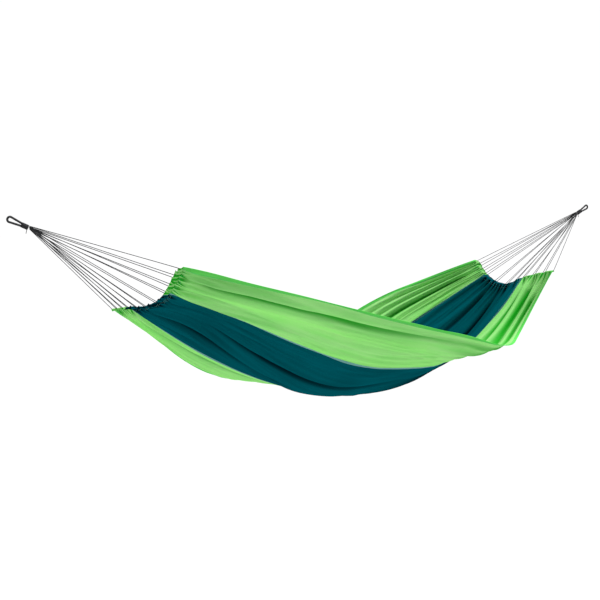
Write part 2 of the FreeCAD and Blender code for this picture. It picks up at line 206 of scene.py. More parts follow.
def plaited_cord(name, tone, plait):
    """Black polyester cord: a fine plait from two crossing waves in the cord's own coordinates,
    and grey fibres at random, painted paler on the crowns as a painted highlight and darker in
    the gaps as painted shade."""
    material, shader, start = start_material(name)
    where = start.node("TexCoord", output="Object")
    crossing = start.node("TexVoronoi", {"feature": "F1"}, {"Vector": where, "Scale": plait})
    fibre = start.node("TexNoise", {}, {"Vector": where, "Scale": plait * 2.5, "Detail": 2.0})
    gap = start.math("MINIMUM", crossing * 1.6, 1.0)
    # Painted highlight on the crowns and painted shade in the gaps: the grey fibres fade out towards the
    # gaps.
    colour = start.node("MixRGB", {}, {"Fac": fibre * 0.7 * (1 - gap) + 0.1,
                                       "Color1": tone, "Color2": linear(70, 72, 76)})
    start.tree.links.new(colour.socket, shader.inputs["Base Color"])
    start.tree.links.new((gap * 0.25 + 0.5).socket, shader.inputs["Roughness"])
    bump = start.node("Bump", {}, {"Height": fibre * 0.3 - gap, "Strength": 0.6, "Distance": 0.0003})
    start.tree.links.new(bump.socket, shader.inputs["Normal"])
    shader.inputs["Specular IOR Level"].default_value = 0.35
    return material


def hem_knots(side):
    """Points of one end hem where the strands meet it, in metres, from the near corner on."""
    knots = hung_cloth(0.0 if side == "left" else 1.0, KNOT_PLACES)
    knots[:, 0] = BED_X + SIDES[side] * SLEEVE_REACH
    return knots


def lengths_along(path):
    """Length of a path from its first point to each of its points."""
    return np.concatenate([[0], np.cumsum(np.linalg.norm(np.diff(path, axis=0), axis=1))])


def unit(vectors):
    """Vectors shortened or stretched to a length of one."""
    return vectors / np.linalg.norm(vectors, axis=-1, keepdims=True)


def bundle_point(side, strand):
    """Where one strand leaves the lashing: four rows of five, every second row shifted."""
    row, column = divmod(BUNDLE_PLACES[side][strand], 5)
    shift = 0.25 if row % 2 else -0.25
    x = MID_X + SIDES[side] * (MID_X - BUNDLE_INSET)
    return np.array([x, (column - 2 + shift) * CORD_PITCH,
                     AXIS_Z + (1.5 - row) * CORD_PITCH * math.sqrt(0.75)])


def cord_route(side, loop):
    """Six points of a loop: lashing, short slant, sleeve, then the same on the way back."""
    start, end = hem_knots(side)[loop:loop + 2]
    along = unit(end - start)
    route = []
    for knot, inward, strand in ((start, along, 2 * loop), (end, -along, 2 * loop + 1)):
        top = bundle_point(side, strand)
        corner = knot + inward * BEND_START
        slant = unit(unit(top - corner) - inward)
        route.append([top, corner + slant * BEND_RUN, corner])
    return np.array(route[0] + route[1][::-1])


black_cord = plaited_cord("plaited_cord", linear(12, 12, 14), 900.0)
for side in SIDES:
    for loop in range(10):
        route = cord_route(side, loop)
        curve = bpy.data.curves.new("%s_strands_%02d" % (side, loop + 1), "CURVE")
        curve.dimensions = "3D"
        curve.bevel_depth = CORD_DIAMETER / 2
        curve.bevel_resolution = 3
        curve.resolution_u = 12
        curve.use_fill_caps = True
        line = curve.splines.new("NURBS")
        line.points.add(len(route) - 1)
        line.points.foreach_set("co", np.column_stack([route, np.ones(len(route))]).ravel())
        line.order_u = 3
        line.use_endpoint_u = True
        curve.materials.append(black_cord)
        strands = bpy.data.objects.new(curve.name, curve)
        bpy.context.scene.collection.objects.link(strands)
        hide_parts("%s_cord_%02d" % (side, loop + 1))
        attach(strands, "bed")

# ---------------------------------------------------------------- lashings and rope eyes
# All the strands of one end are bound together under a tight whipping of cord with a short cut
# tail. Beyond it the bundle opens into a small eye, served all round with fine black cord.
EYE_TILT = math.radians(26)
EYE_ROPE = 0.008
EYE_TURN = 0.0095                          # radius of the round end, to the middle of the rope
EYE_LENGTH = 0.0405                        # from the lashing to the middle of the round end
EYE_FOOT = 0.0041                          # half the spacing of the two legs at the lashing
EYE_ROOT = 0.004                           # how far the legs run on inside the lashing
SERVING_RIDGE, SERVING_PITCH = 0.00045, 0.0015
HANGER_GAP = 0.0012
LASHING_LENGTH = 0.026
LASHING_RADIUS = 0.0082                    # of the whipping, to the middle of its cord
LASHING_CORD = 0.0024
LASHING_TURNS = 10.5
CORE_RADIUS, CORE_INSET = 0.0071, 0.0006   # of the bundle under the whipping, and of its ends
TAIL_ROOT, TAIL_LENGTH = 0.006, 0.0214     # of the cut tail, from the middle of the bundle
TAIL_ANGLE = math.radians(105)             # between the tail and the way out along the eye
TAIL_DROOP = 0.0016
TAIL_RIDGE, TAIL_PITCH = 0.0002, 0.0012


def add_mesh(name, points, faces, uv=None):
    """Mesh object at the origin from points and faces, with an own map in metres if given."""
    mesh = bpy.data.meshes.new(name)
    mesh.from_pydata(points.reshape(-1, 3).tolist(), [], list(map(list, faces)))
    if uv is not None:
        layer = mesh.uv_layers.new(name="cloth")
        corner = np.empty(len(mesh.loops), int)
        mesh.loops.foreach_get("vertex_index", corner)
        layer.data.foreach_set("uv", uv.reshape(-1, 2)[corner].ravel())
    mesh.shade_smooth()
    piece = bpy.data.objects.new(name, mesh)
    bpy.context.scene.collection.objects.link(piece)
    return piece


def grid_faces(rows, columns, round_columns=False):
    """Quads of a grid of points, row by row; round columns join the last one to the first."""
    index = np.arange(rows * columns).reshape(rows, columns)
    if round_columns:
        index = np.column_stack([index, index[:, 0]])
    corners = [index[:-1, :-1], index[:-1, 1:], index[1:, 1:], index[1:, :-1]]
    return np.stack(corners, -1).reshape(-1, 4)


def add_tube(name, path, radius, around=20, ridge=0.0, pitch=1.0):
    """Round tube along a path: at each point a ring of the given radius, in the plane across the
    path. A ridge adds that much height times |cos| of half a turn per pitch of length, on a
    helix, like cord laid round a core. Both ends are closed with a point."""
    ahead = unit(np.gradient(path, axis=0))
    across = unit(np.cross(ahead, [0.02, 1.0, 0.03]))
    over = np.cross(ahead, across)
    angle = np.linspace(0, 2 * np.pi, around, endpoint=False)
    turn = np.pi * lengths_along(path)[:, None] / pitch - angle / 2
    swell = np.broadcast_to(np.asarray(radius), len(path))[:, None] + ridge * (np.abs(np.cos(turn)) - 1)
    rings = (path[:, None] + swell[..., None] * (np.cos(angle)[:, None] * across[:, None]
                                                 + np.sin(angle)[:, None] * over[:, None]))
    points = np.concatenate([rings.reshape(-1, 3), path[:1], path[-1:]])
    tip = len(path) * around
    ring = np.arange(around)
    following = np.roll(ring, -1)
    foot = np.column_stack([np.full(around, tip), following, ring])
    head = np.column_stack([np.full(around, tip + 1), ring + tip - around, following + tip - around])
    faces = grid_faces(len(path), around, True).tolist() + foot.tolist() + head.tolist()
    return add_mesh(name, points, faces)


def hanger_frame(side):
    """Base point, way out along the eye and way up, at a lashing's inner face."""
    out = np.array([SIDES[side] * math.cos(EYE_TILT), 0, math.sin(EYE_TILT)])
    up = np.array([-SIDES[side] * math.sin(EYE_TILT), 0, math.cos(EYE_TILT)])
    hook = np.array([0.0 if side == "left" else 2 * MID_X, 0, 0])
    reach = LASHING_LENGTH + HANGER_GAP + EYE_LENGTH + EYE_TURN - EYE_ROPE / 2
    return hook - out * reach, out, up


def eye_path(side):
    """Middle of the eye's rope: up one leg, round the end as an arc and down the other leg."""
    base, out, up = hanger_frame(side)
    lean = math.asin((EYE_TURN - EYE_FOOT) / EYE_LENGTH)
    touch = np.array([EYE_TURN * math.cos(lean), EYE_LENGTH + EYE_TURN * math.sin(lean)])
    leg = np.linspace([EYE_FOOT, -HANGER_GAP - EYE_ROOT], touch, 110, endpoint=False)
    angle = np.linspace(lean, math.pi - lean, 90)
    arc = np.column_stack([np.cos(angle), np.sin(angle)]) * EYE_TURN + [0, EYE_LENGTH]
    flat = np.concatenate([leg, arc, leg[::-1] * [-1, 1]])
    return base + up * flat[:, :1] + out * (flat[:, 1:] + LASHING_LENGTH + HANGER_GAP)


def whipping_path(side):
    """Helix of the lashing's cord round the bundle, from its inner face to its outer one."""
    base, out, up = hanger_frame(side)
    turn = np.linspace(0, LASHING_TURNS, 420)[:, None]
    height = LASHING_CORD / 2 + (LASHING_LENGTH - LASHING_CORD) * turn / LASHING_TURNS
    aside = np.cross(out, up)
    angle = 2 * np.pi * turn
    return base + out * height + LASHING_RADIUS * (up * np.cos(angle) + aside * np.sin(angle))


served_cord = plaited_cord("served_cord", linear(14, 14, 16), 1400.0)
for side in SIDES:
    base, out, up = hanger_frame(side)
    eye = add_tube(side + "_rope_eye", eye_path(side), EYE_ROPE / 2, 24, SERVING_RIDGE, SERVING_PITCH)
    eye.data.materials.append(served_cord)
    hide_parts(side + "_eye")
    whipping = add_tube(side + "_whipping", whipping_path(side), LASHING_CORD / 2, 10)
    core_height = np.linspace(CORE_INSET, LASHING_LENGTH - CORE_INSET, 24)[:, None]
    crown = np.sin(np.linspace(0.25, math.pi - 0.25, 24)) ** 0.4
    core = add_tube(side + "_bound_bundle", base + out * core_height, CORE_RADIUS * crown, 40)
    tail_way = -up * math.sin(TAIL_ANGLE) + out * math.cos(TAIL_ANGLE)
    tail_run = np.linspace(TAIL_ROOT, TAIL_LENGTH, 30)[:, None]
    droop = -up * TAIL_DROOP * np.linspace(0, 1, 30)[:, None] ** 2
    tail_path = base + out * 2 * LASHING_CORD + tail_way * tail_run + droop
    tail = add_tube(side + "_whipping_tail", tail_path, LASHING_CORD / 2, 12, TAIL_RIDGE, TAIL_PITCH)
    for piece in (whipping, core, tail):
        piece.data.materials.append(black_cord)
    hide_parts(side + "_lashing")
    for piece in (eye, whipping, core, tail):
        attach(piece, "hangers")

# ---------------------------------------------------------------- folds in the cloth
# The channels are gathered on the cord, so the cloth leaves each end hem in pleats that hang
# between the knots and run out over the bed, and longer folds drift along the empty panels.
BOW_DEPTH = 0.014                          # of the cloth between two knots
PLEAT_RISE = 0.02                          # length over which the pleats grow from the hem
GATHER_DEPTH, GATHER_FADE = 0.0035, 0.11
BUNCH_FADE = 0.05                          # length over which the gathers' creases fade
SCALLOP, SCALLOP_FADE = 0.005, 0.06        # how far the hem draws in between two knots
FLAP_DROP, FLAP_SLOPE = 0.0046, 0.005      # of the turned hem, to pass under the channels
RUFFLE, RUFFLE_RUN = 0.013, 0.008          # rise of its free edge between two knots
CORNER_PLACES, CORNER_FLAP = 0.14, 0.25    # where the flap is cut back, and what is left there
RIPPLE_HEIGHT, FINE_RIPPLE_HEIGHT = 0.0026, 0.0010
# Long folds: end they start from, place at that hem, place where they run out, share of the bed
# that they cross, depth below the cloth, and width counted in places.
LONG_FOLDS = [
    ("left", 0.36, 0.17, 0.86, -0.026, 0.055),
    ("left", 0.14, 0.05, 0.36, -0.012, 0.040),
    ("left", 0.72, 0.80, 0.45, -0.011, 0.050),
    ("left", 0.90, 0.62, 0.62, 0.012, 0.080),
    ("left", 1.30, 1.22, 0.50, -0.012, 0.050),
    ("left", 1.52, 1.40, 0.46, -0.012, 0.050),
    ("left", 1.86, 1.62, 0.74, -0.024, 0.060),
    ("left", 2.14, 1.94, 0.50, -0.012, 0.050),
    ("left", 2.46, 2.14, 0.70, -0.024, 0.065),
    ("left", 2.78, 2.60, 0.50, -0.012, 0.050),
    ("left", 3.22, 3.26, 0.60, -0.024, 0.060),
    ("left", 3.50, 3.48, 0.78, -0.022, 0.055),
    ("left", 3.76, 3.74, 0.55, -0.016, 0.045),
    ("right", 0.22, 0.14, 0.70, 0.018, 0.070),
    ("right", 0.48, 0.36, 0.46, 0.026, 0.100),
    ("right", 0.78, 0.64, 0.38, 0.020, 0.070),
    ("right", 0.50, 0.78, 0.74, -0.009, 0.060),
    ("right", 1.30, 1.48, 0.40, 0.016, 0.055),
    ("right", 1.72, 1.84, 0.56, 0.026, 0.060),
    ("right", 2.10, 2.16, 0.50, 0.020, 0.055),
    ("right", 2.50, 2.52, 0.44, 0.016, 0.055),
    ("right", 3.20, 3.16, 0.60, 0.007, 0.030),
    ("right", 3.48, 3.42, 0.68, 0.020, 0.045),
    ("right", 3.66, 3.62, 0.60, 0.014, 0.035),
    ("right", 3.82, 3.78, 0.55, 0.014, 0.030),
]
# Rolled edges, where the cloth beside a side hem lies in two layers and lets less light through,
# and its colour is darkened a little as painted shade: end, then the place that the roll
# reaches to at that hem and where it runs out, and the share of the bed that it follows.
ROLLED_EDGES = [("left", NEAR_HEM, 0.36, 0.17, 0.86), ("right", FAR_HEM, 3.48, 3.42, 0.68),
                ("right", NEAR_HEM, 0.20, 0.12, 0.50)]


def long_folds(share, place):
    """Height of the long folds and how tightly the cloth is creased there, 0 to 1. A fold is
    minus the depth times exp(-1.6 (sqrt(r^2 + 0.06) - 0.245)), a furrow with steep walls, plus
    0.4 times exp(-(|r| - 2)^2) for the low ridge on each side; r counts widths from its line."""
    height = np.zeros(np.broadcast(share, place).shape)
    crease = np.zeros_like(height)
    for side, hem_place, last_place, run, depth, width in LONG_FOLDS:
        way = (share if side == "left" else 1 - share) / run
        done = np.clip(way, 0, 1)
        middle = hem_place + (last_place - hem_place) * done ** 2 * (3 - 2 * done)
        off = (place - middle) / (width * (1 + 0.9 * done))
        start = np.clip(way * 14, 0, 1)
        strength = (1 - done) ** 0.6 * start
        furrow = np.exp(-1.6 * (np.sqrt(off ** 2 + 0.06) - 0.245))
        height += depth * strength * (0.4 * np.exp(-(np.abs(off) - 2) ** 2) - furrow)
        # The crease of a fold sets painted shade along its line in the cloth's colour.
        tight = np.minimum(np.abs(depth) / 0.020, 1) * (1 - done) ** 0.35 * start
        crease = np.maximum(crease, tight * np.exp(-0.55 * off ** 2))
    for side, hem, hem_place, last_place, run in ROLLED_EDGES:
        done = np.clip((share if side == "left" else 1 - share) / run, 0, 1)
        middle = hem_place + (last_place - hem_place) * done ** 2 * (3 - 2 * done)
        inward = (middle - place) * (1 if hem == NEAR_HEM else -1)
        # Painted shade along the rolled edge, and less light let through there.
        crease = np.maximum(crease, 0.56 * (1 - done) ** 0.4 / (1 + np.exp(-inward / 0.012)))
    return height, np.minimum(crease, 1)


def wave(turns):
    """Sine wave by the number of whole turns."""
    return np.sin(2 * np.pi * turns)


def ripples(share, place):
    """Height of the small ripples of empty cloth: two sets of waves that run along the bed and
    wander from side to side, stronger in some strips of the cloth than in others."""
    wander = 0.35 * wave(1.3 * share + 0.4 * place) + 0.2 * wave(2.9 * share - place)
    broad = wave(6.5 * place + wander) * (0.6 + 0.4 * wave(0.8 * place + share))
    fine = wave(14.5 * place - 2 * wander) * (0.5 + 0.5 * wave(1.7 * place - 1.5 * share))
    return RIPPLE_HEIGHT * broad + FINE_RIPPLE_HEIGHT * fine


def between_knots(place):
    """Count of the hem's knots up to a place, and the bow of the cloth there, (1 - cos) / 2 of
    the count's turns: 0 at a knot and 1 half way to the next."""
    knot = np.interp(place, KNOT_PLACES, np.arange(len(KNOT_PLACES)))
    return knot, 0.5 - 0.5 * np.cos(2 * np.pi * knot)


def gathers(share, place):
    """Height of the pleats at the two end hems, and their creases. The height is minus the bow
    between two knots plus finer gathers; both rise in the first centimetres and then fade. The
    cloth is creased where a gather's wave is low, and there its colour is darkened as painted
    shade in the pleats, fading over the first few centimetres from the hem."""
    knot, bow = between_knots(place)
    height = np.zeros(np.broadcast(share, place).shape)
    crease = np.zeros_like(height)
    for side, phase in (("left", 0.4), ("right", 2.1)):
        away = (share if side == "left" else 1 - share) * BED_REACH
        fade = 0.17 + 0.07 * np.sin(1.9 * knot + phase) + 0.04 * np.sin(4.3 * knot + 2 * phase)
        rise = 1 - np.exp(-away / PLEAT_RISE)
        gather = wave(3.4 * knot + 0.3 * np.sin(3 * knot + phase))
        height -= BOW_DEPTH * bow * rise * np.exp(-away / fade)
        height += GATHER_DEPTH * gather * rise * np.exp(-away / GATHER_FADE)
        # Painted shade in the pleats next to the end hems.
        bunch = 0.62 - 0.38 * gather
        crease = np.maximum(crease, 1.2 * bunch * np.exp(-away / BUNCH_FADE))
    return height, np.minimum(crease, 1)


def cloth_frame(share, place):
    """Smooth cloth's point, unit way along, unit way across and upward normal."""
    step = 1e-3
    low, high = np.clip(share - step, 0, 1), np.clip(share + step, 0, 1)
    along = hung_cloth(high, place) - hung_cloth(low, place)
    low, high = np.clip(place - step, 0, 4), np.clip(place + step, 0, 4)
    across = hung_cloth(share, high) - hung_cloth(share, low)
    return hung_cloth(share, place), unit(along), unit(across), unit(np.cross(along, across))


def folded_cloth(share, place, lift=0.0, past=0.0):
    """Point of the finished cloth, raised by lift along its normal and moved past an end hem by
    signed metres. Between two knots the end hems draw in towards the bed by the scallop, which
    fades over the first few centimetres. The turned flap drops to pass under the channels, and
    past them its free edge stands up in a ruffle between the knots. It is cut back at the four
    corners."""
    share, place, past = np.broadcast_arrays(share, place, past)
    corner = np.clip(np.minimum(place, 4 - place) / CORNER_PLACES, 0, 1)
    past = past * (CORNER_FLAP + (1 - CORNER_FLAP) * corner)
    point, _, _, normal = cloth_frame(share, place)
    knot, bow = between_knots(place)
    pull = SCALLOP * bow * (np.exp(-share * BED_REACH / SCALLOP_FADE)
                            - np.exp(-(1 - share) * BED_REACH / SCALLOP_FADE))
    stand = np.clip(np.abs(past) / RUFFLE_RUN - 2.1, 0, 1)
    ruffle = RUFFLE * bow ** 2 * (0.75 + 0.25 * np.sin(5 * knot)) * stand
    drop = FLAP_DROP * np.clip(np.abs(past) / FLAP_SLOPE, 0, 1) - ruffle
    height = (long_folds(share, place)[0] + gathers(share, place)[0] + ripples(share, place)
              + lift - drop)
    return point + normal * height[..., None] + np.array([1.0, 0, 0]) * (pull + past)[..., None]


# ---------------------------------------------------------------- nylon panels
# Lime, teal and lime panels of light woven nylon, each cut from the roll and hemmed at both ends.
# Thin satin cloth that lets some light through, with a fine plain weave and soft pack creases.
CUT_LENGTH = 2.20
CUT_EDGES = [0.0, 0.40, 0.70, 1.00, 1.40]  # the five lines across the flat cut
CLOTH_THICKNESS = 0.0006
ALONG_STEPS = 301
WEAVE = 0.0007                             # two threads of the weave
# Rows of the turned hem beyond the cloth, from its free edge in.
HEM_FLAP = np.array([0.0248, 0.0228, 0.0208, 0.0188, 0.0168, 0.012, 0.008, 0.005, 0.0025])


def woven_nylon(name, fresh, deep, creased, glow, see_through):
    """Plain-woven nylon. Along and across come from the cloth's own map in metres: the weave is
    sin x sin of both, long soft creases are noise drawn out along the bed, and the colour goes
    from fresh to deep with them. By the stored crease value the colour turns to the creased
    colour, which is painted shade in the tight folds, pleats, rolled edges and sleeve mouths,
    and the cloth lets less light through there, as where it lies in two layers."""
    material, shader, start = start_material(name)
    flat = start.node("UVMap", {"uv_map": "cloth"})
    along = start.node("SeparateXYZ", {}, {"Vector": flat}, "X")
    across = start.node("SeparateXYZ", {}, {"Vector": flat}, "Y")
    turn = 2 * math.pi / WEAVE
    threads = start.math("SINE", along * turn) * start.math("SINE", across * turn)
    drawn = start.node("CombineXYZ", {}, {"X": along * 2.4, "Y": across * 34.0})
    crease = start.node("TexNoise", {}, {"Vector": drawn, "Scale": 1.0, "Detail": 2.5,
                                         "Roughness": 0.55})
    packed = start.node("CombineXYZ", {}, {"X": along * 14.0, "Y": across * 26.0})
    crumple = start.node("TexNoise", {}, {"Vector": packed, "Scale": 1.0, "Detail": 4.0,
                                          "Roughness": 0.6})
    slow = start.node("TexNoise", {}, {"Vector": flat, "Scale": 5.0, "Detail": 2.0})
    fold = start.node("Attribute", {"attribute_name": "crease"}, {}, "Fac")
    tone = start.math("SMOOTH_MIN", slow * 0.6 + crease * 1.1 - 0.35 + threads * 0.05, 1.0)
    colour = start.node("MixRGB", {}, {"Fac": tone, "Color1": fresh, "Color2": deep})
    # Painted shade: by the stored crease value the colour turns to the creased colour, near black on the
    # teal, in the folds, pleats, rolled edges and sleeve mouths.
    double = start.node("MapRange", {"interpolation_type": "SMOOTHSTEP"},
                        {"Value": fold, "From Min": 0.4, "From Max": 0.9, "To Max": 0.97})
    colour = start.node("MixRGB", {}, {"Fac": double, "Color1": colour, "Color2": creased})
    start.tree.links.new(colour.socket, shader.inputs["Base Color"])
    start.tree.links.new((crumple * 0.2 + 0.36).socket, shader.inputs["Roughness"])
    height = crease * 0.005 + crumple * 0.0014 + threads * 0.00002
    bump = start.node("Bump", {}, {"Height": height, "Strength": 1.0, "Distance": 1.0})
    start.tree.links.new(bump.socket, shader.inputs["Normal"])
    shader.inputs["Specular IOR Level"].default_value = 0.0
    shader.inputs["Sheen Weight"].default_value = 0.12
    shader.inputs["Sheen Roughness"].default_value = 0.35
    shader.inputs["Sheen Tint"].default_value = glow
    lit_through = start.node("BsdfTranslucent", {}, {"Color": glow})
    output = next(node for node in start.tree.nodes if node.type == "OUTPUT_MATERIAL")
    both = start.node("MixShader", {}, {0: (1 - fold * 0.9) * see_through,
                                        1: Signal(start.tree, shader.outputs["BSDF"]), 2: lit_through})
    start.tree.links.new(both.socket, output.inputs["Surface"])
    return material


def flat_place(share, place, past=0.0):
    """Map of the cloth in metres: length along the cut and distance across it."""
    share, place, past = np.broadcast_arrays(share, place, past)
    return np.stack([share * CUT_LENGTH + past, np.interp(place, range(5), CUT_EDGES)], -1)


def creases(share, place):
    """How tightly the cloth is creased, from 0 to 1: the larger of the folds' and the pleats'."""
    return np.maximum(long_folds(share, place)[1], gathers(share, place)[1])


def add_darkening(piece, crease):
    """Keep at each point, as the crease attribute, how far the colour turns to the material's darker
    colour; on the panels and sleeves that is painted shade in folds, pleats, rolled edges and sleeve
    mouths.
    """
    layer = piece.data.attributes.new("crease", "FLOAT", "POINT")
    layer.data.foreach_set("value", np.ascontiguousarray(crease, dtype=np.float32).ravel())


def add_panel(name, first, last, steps):
    """Panel between two places as a grid on the folded cloth, given its thickness both ways."""
    share = np.concatenate([0 * HEM_FLAP, np.linspace(0, 1, ALONG_STEPS), 0 * HEM_FLAP + 1])
    past = np.concatenate([-HEM_FLAP, np.zeros(ALONG_STEPS), HEM_FLAP[::-1]])
    place = np.linspace(first, last, steps)
    share, past = share[:, None], past[:, None]
    panel = add_mesh(name, folded_cloth(share, place, 0.0, past), grid_faces(len(share), steps)[:, ::-1],
                     flat_place(share, place, past))
    # Painted shade in the panel's folds, pleats and rolled edges, by how tightly they are creased.
    add_darkening(panel, creases(share, place))
    wall = panel.modifiers.new("cloth", "SOLIDIFY")
    wall.thickness = CLOTH_THICKNESS
    wall.offset = 0.0
    return panel


# The third colour of each cloth is painted shade for the folds, pleats, rolled edges and sleeve mouths:
# dark green on the lime, near black on the teal.
lime_cloth = woven_nylon("lime_cloth", linear(178, 228, 156), linear(120, 214, 106), linear(0, 150, 16),
                         linear(190, 238, 160), 0.45)
teal_cloth = woven_nylon("teal_cloth", linear(0, 92, 102), linear(0, 66, 74), linear(0, 12, 22),
                         linear(0, 104, 112), 0.12)
near_panel = add_panel("near_lime_panel", 0.0, 1.0, 121)
middle_panel = add_panel("middle_teal_panel", 1.0, 3.0, 201)
far_panel = add_panel("far_lime_panel", 3.0, 4.0, 121)
for panel, node, material, slot in ((near_panel, "near_side_panel", lime_cloth, "lime_nylon"),
                                    (middle_panel, "center_panel", teal_cloth, "teal_nylon"),
                                    (far_panel, "far_side_panel", lime_cloth, "lime_nylon")):
    panel.data.materials.append(material)
    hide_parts(node)
    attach(panel, "bed")

# ---------------------------------------------------------------- seams and side hems
# Each seam is a flat fell: both selvedges are folded into each other and sewn down with two rows,
# so a pale raised band shows on both faces. The side hems are turned in twice and sewn once.
SEAM_WIDTH, SEAM_THICKNESS = 0.009, 0.0018
HEM_WIDTH, HEM_THICKNESS = 0.013, 0.0018
HEM_LIP = 0.001                            # how far a side hem stands past the cloth's edge
BAND_STEPS = 361


def place_beside(share, line, offset):
    """Place that lies offset metres beyond a line, by the width that one place has there."""
    low, high = np.clip(line - 0.01, 0, 4), np.clip(line + 0.01, 0, 4)
    width = np.linalg.norm(hung_cloth(share, high) - hung_cloth(share, low), axis=-1) / (high - low)
    return line + offset / width


def add_band(name, line, section, upper_face_darkening):
    """Band along one line of the cloth: a closed section of (offset, height) points carried along
    it, where the offset is measured on the cloth and the height along its normal. Its upward
    side turns towards the darker colour of its material by the upper face darkening."""
    share = np.linspace(0, 1, BAND_STEPS)[:, None]
    offset, height = np.array(section).T
    place = np.clip(place_beside(share, line, offset), 0, 4)
    over = offset * (1 if line < 2 else -1)
    points = folded_cloth(share, place, height)
    outside = np.minimum(over, 0) * (line in (NEAR_HEM, FAR_HEM))
    across = cloth_frame(share, np.full_like(share, line))[2] * (1 if line < 2 else -1)
    points = points + across * outside[:, None]
    band = add_mesh(name, points, grid_faces(BAND_STEPS, len(section), True), flat_place(share, place))
    add_darkening(band, upper_face_darkening * (height > 0) + 0 * share)
    fill_ends(band, BAND_STEPS, len(section))
    return band


def fill_ends(piece, rows, columns):
    """Close a carried section at its first and last ring, and turn all faces outwards."""
    shell = bmesh.new()
    shell.from_mesh(piece.data)
    shell.verts.ensure_lookup_table()
    for ring in (range(columns), range((rows - 1) * columns, rows * columns)):
        shell.faces.new([shell.verts[i] for i in ring])
    bmesh.ops.recalc_face_normals(shell, faces=shell.faces)
    shell.to_mesh(piece.data)
    shell.free()


def round_section(thickness, low_edge, high_edge):
    """Flat section with rounded edges, from low_edge to high_edge, thickness between its faces."""
    turn = np.linspace(math.pi / 2, 3 * math.pi / 2, 7)
    radius = thickness / 2
    left = [(low_edge + radius + radius * math.cos(a), radius * math.sin(a)) for a in turn]
    right = [(high_edge - radius - radius * math.cos(a), -radius * math.sin(a)) for a in turn]
    steps = np.linspace(low_edge + 2 * radius, high_edge - 2 * radius, 5)
    low_face = [(s, -radius) for s in steps]
    high_face = [(s, radius) for s in steps[::-1]]
    return left + low_face + right + high_face


seam_section = round_section(SEAM_THICKNESS, -SEAM_WIDTH / 2, SEAM_WIDTH / 2)
near_section = round_section(HEM_THICKNESS, -HEM_LIP, HEM_WIDTH)
far_section = round_section(HEM_THICKNESS, -HEM_WIDTH, HEM_LIP)
# The seam's upward face is darker: it takes the third colour.
felled_seam = woven_nylon("felled_seam", linear(132, 176, 176), linear(70, 128, 126),
                          linear(30, 80, 84), linear(132, 176, 176), 0.0)
hem_nylon = woven_nylon("hem_nylon", linear(110, 214, 98), linear(60, 184, 66),
                        linear(20, 140, 40), linear(110, 220, 80), 0.08)
bands = {}
for name, line, section, upper_face_darkening, material, node, slot in (
        ("near_felled_seam", NEAR_SEAM, seam_section, 0.8, felled_seam, "near_seam", "seam_thread"),
        ("far_felled_seam", FAR_SEAM, seam_section, 1.0, felled_seam, "far_seam", "seam_thread"),
        ("near_turned_hem", NEAR_HEM, near_section, 0.0, hem_nylon, "near_side_hem", "lime_nylon"),
        ("far_turned_hem", FAR_HEM, far_section, 0.0, hem_nylon, "far_side_hem", "lime_nylon")):
    band = add_band(name, line, section, upper_face_darkening)
    band.data.materials.append(material)
    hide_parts(node)
    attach(band, "bed")
    bands[name] = band

# ---------------------------------------------------------------- end sleeves
# The end hems are turned over into channels, open at every knot, so each cord loop runs inside
# one sleeve. The cloth is gathered on it, and the sleeve is puffed between its two mouths.
SLEEVE_DEPTH, SLEEVE_HEIGHT = 0.018, 0.0075
SLEEVE_WALL = 0.0006
MOUTH_GAP = 0.0085
SLEEVE_ROWS, SLEEVE_AROUND = 60, 26
SLEEVE_LAP = 0.001                         # how far a sleeve's middle lies short of the cord


def add_sleeve(side, index):
    """Gathered tunnel between two knots: an oval of half depth a and half height b round the hem's
    line, where both shrink towards the mouths and ripple with the gathers along the sleeve."""
    knots = hem_knots(side)
    run = np.linalg.norm(knots[index + 1] - knots[index])
    inset = MOUTH_GAP / run
    along = np.linspace(inset, 1 - inset, SLEEVE_ROWS)[:, None]
    angle = np.linspace(0, 2 * np.pi, SLEEVE_AROUND, endpoint=False)
    share = 0.0 if side == "left" else 1.0
    place = KNOT_PLACES[index] + along * (KNOT_PLACES[index + 1] - KNOT_PLACES[index])
    middle, _, across, _ = cloth_frame(np.full_like(place, share), place)
    out = np.array([float(SIDES[side]), 0, 0])
    over = unit(np.cross(out, across)) * SIDES[side]
    full = 1 - np.abs(2 * (along - inset) / (1 - 2 * inset) - 1) ** 4
    waves = 5 + (index * 3 + (side == "right")) % 4
    ripple = np.sin(2 * np.pi * waves * along + 1.3 * np.sin(angle * 2 + index) + index)
    depth = SLEEVE_DEPTH / 2 * (0.82 + 0.18 * full) + 0.0005 * ripple
    height = SLEEVE_HEIGHT / 2 * (0.72 + 0.28 * full) + 0.00055 * ripple * full
    bow = np.sin(np.pi * along) ** 2
    centre = (middle + out * (SLEEVE_REACH - BED_REACH / 2 - SLEEVE_LAP)
              - out * SCALLOP * bow[..., None])
    points = (centre + out * (np.cos(angle) * depth)[..., None]
              + over * (np.sin(angle) * height)[..., None])
    flat = np.stack([share * CUT_LENGTH + np.cos(angle) * depth,
                     np.interp(place, range(5), CUT_EDGES) + 0 * angle], -1)
    sleeve = add_mesh("%s_channel_%02d" % (side, index + 1), points,
                      grid_faces(SLEEVE_ROWS, SLEEVE_AROUND, True), flat)
    # Painted shade: the colour darkens towards the sleeve's two mouths, where it is drawn in.
    add_darkening(sleeve, 0.75 - 0.75 * full + 0 * angle)
    wall = sleeve.modifiers.new("cloth", "SOLIDIFY")
    wall.thickness = SLEEVE_WALL
    wall.offset = 0.0
    return sleeve


sleeves = {}
for side in SIDES:
    for index in range(10):
        sleeve = add_sleeve(side, index)
        middle = 3 <= index <= 6
        sleeve.data.materials.append(teal_cloth if middle else lime_cloth)
        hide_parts("%s_sleeve_%02d" % (side, index + 1))
        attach(sleeve, "bed")
        sleeves[side, index] = sleeve

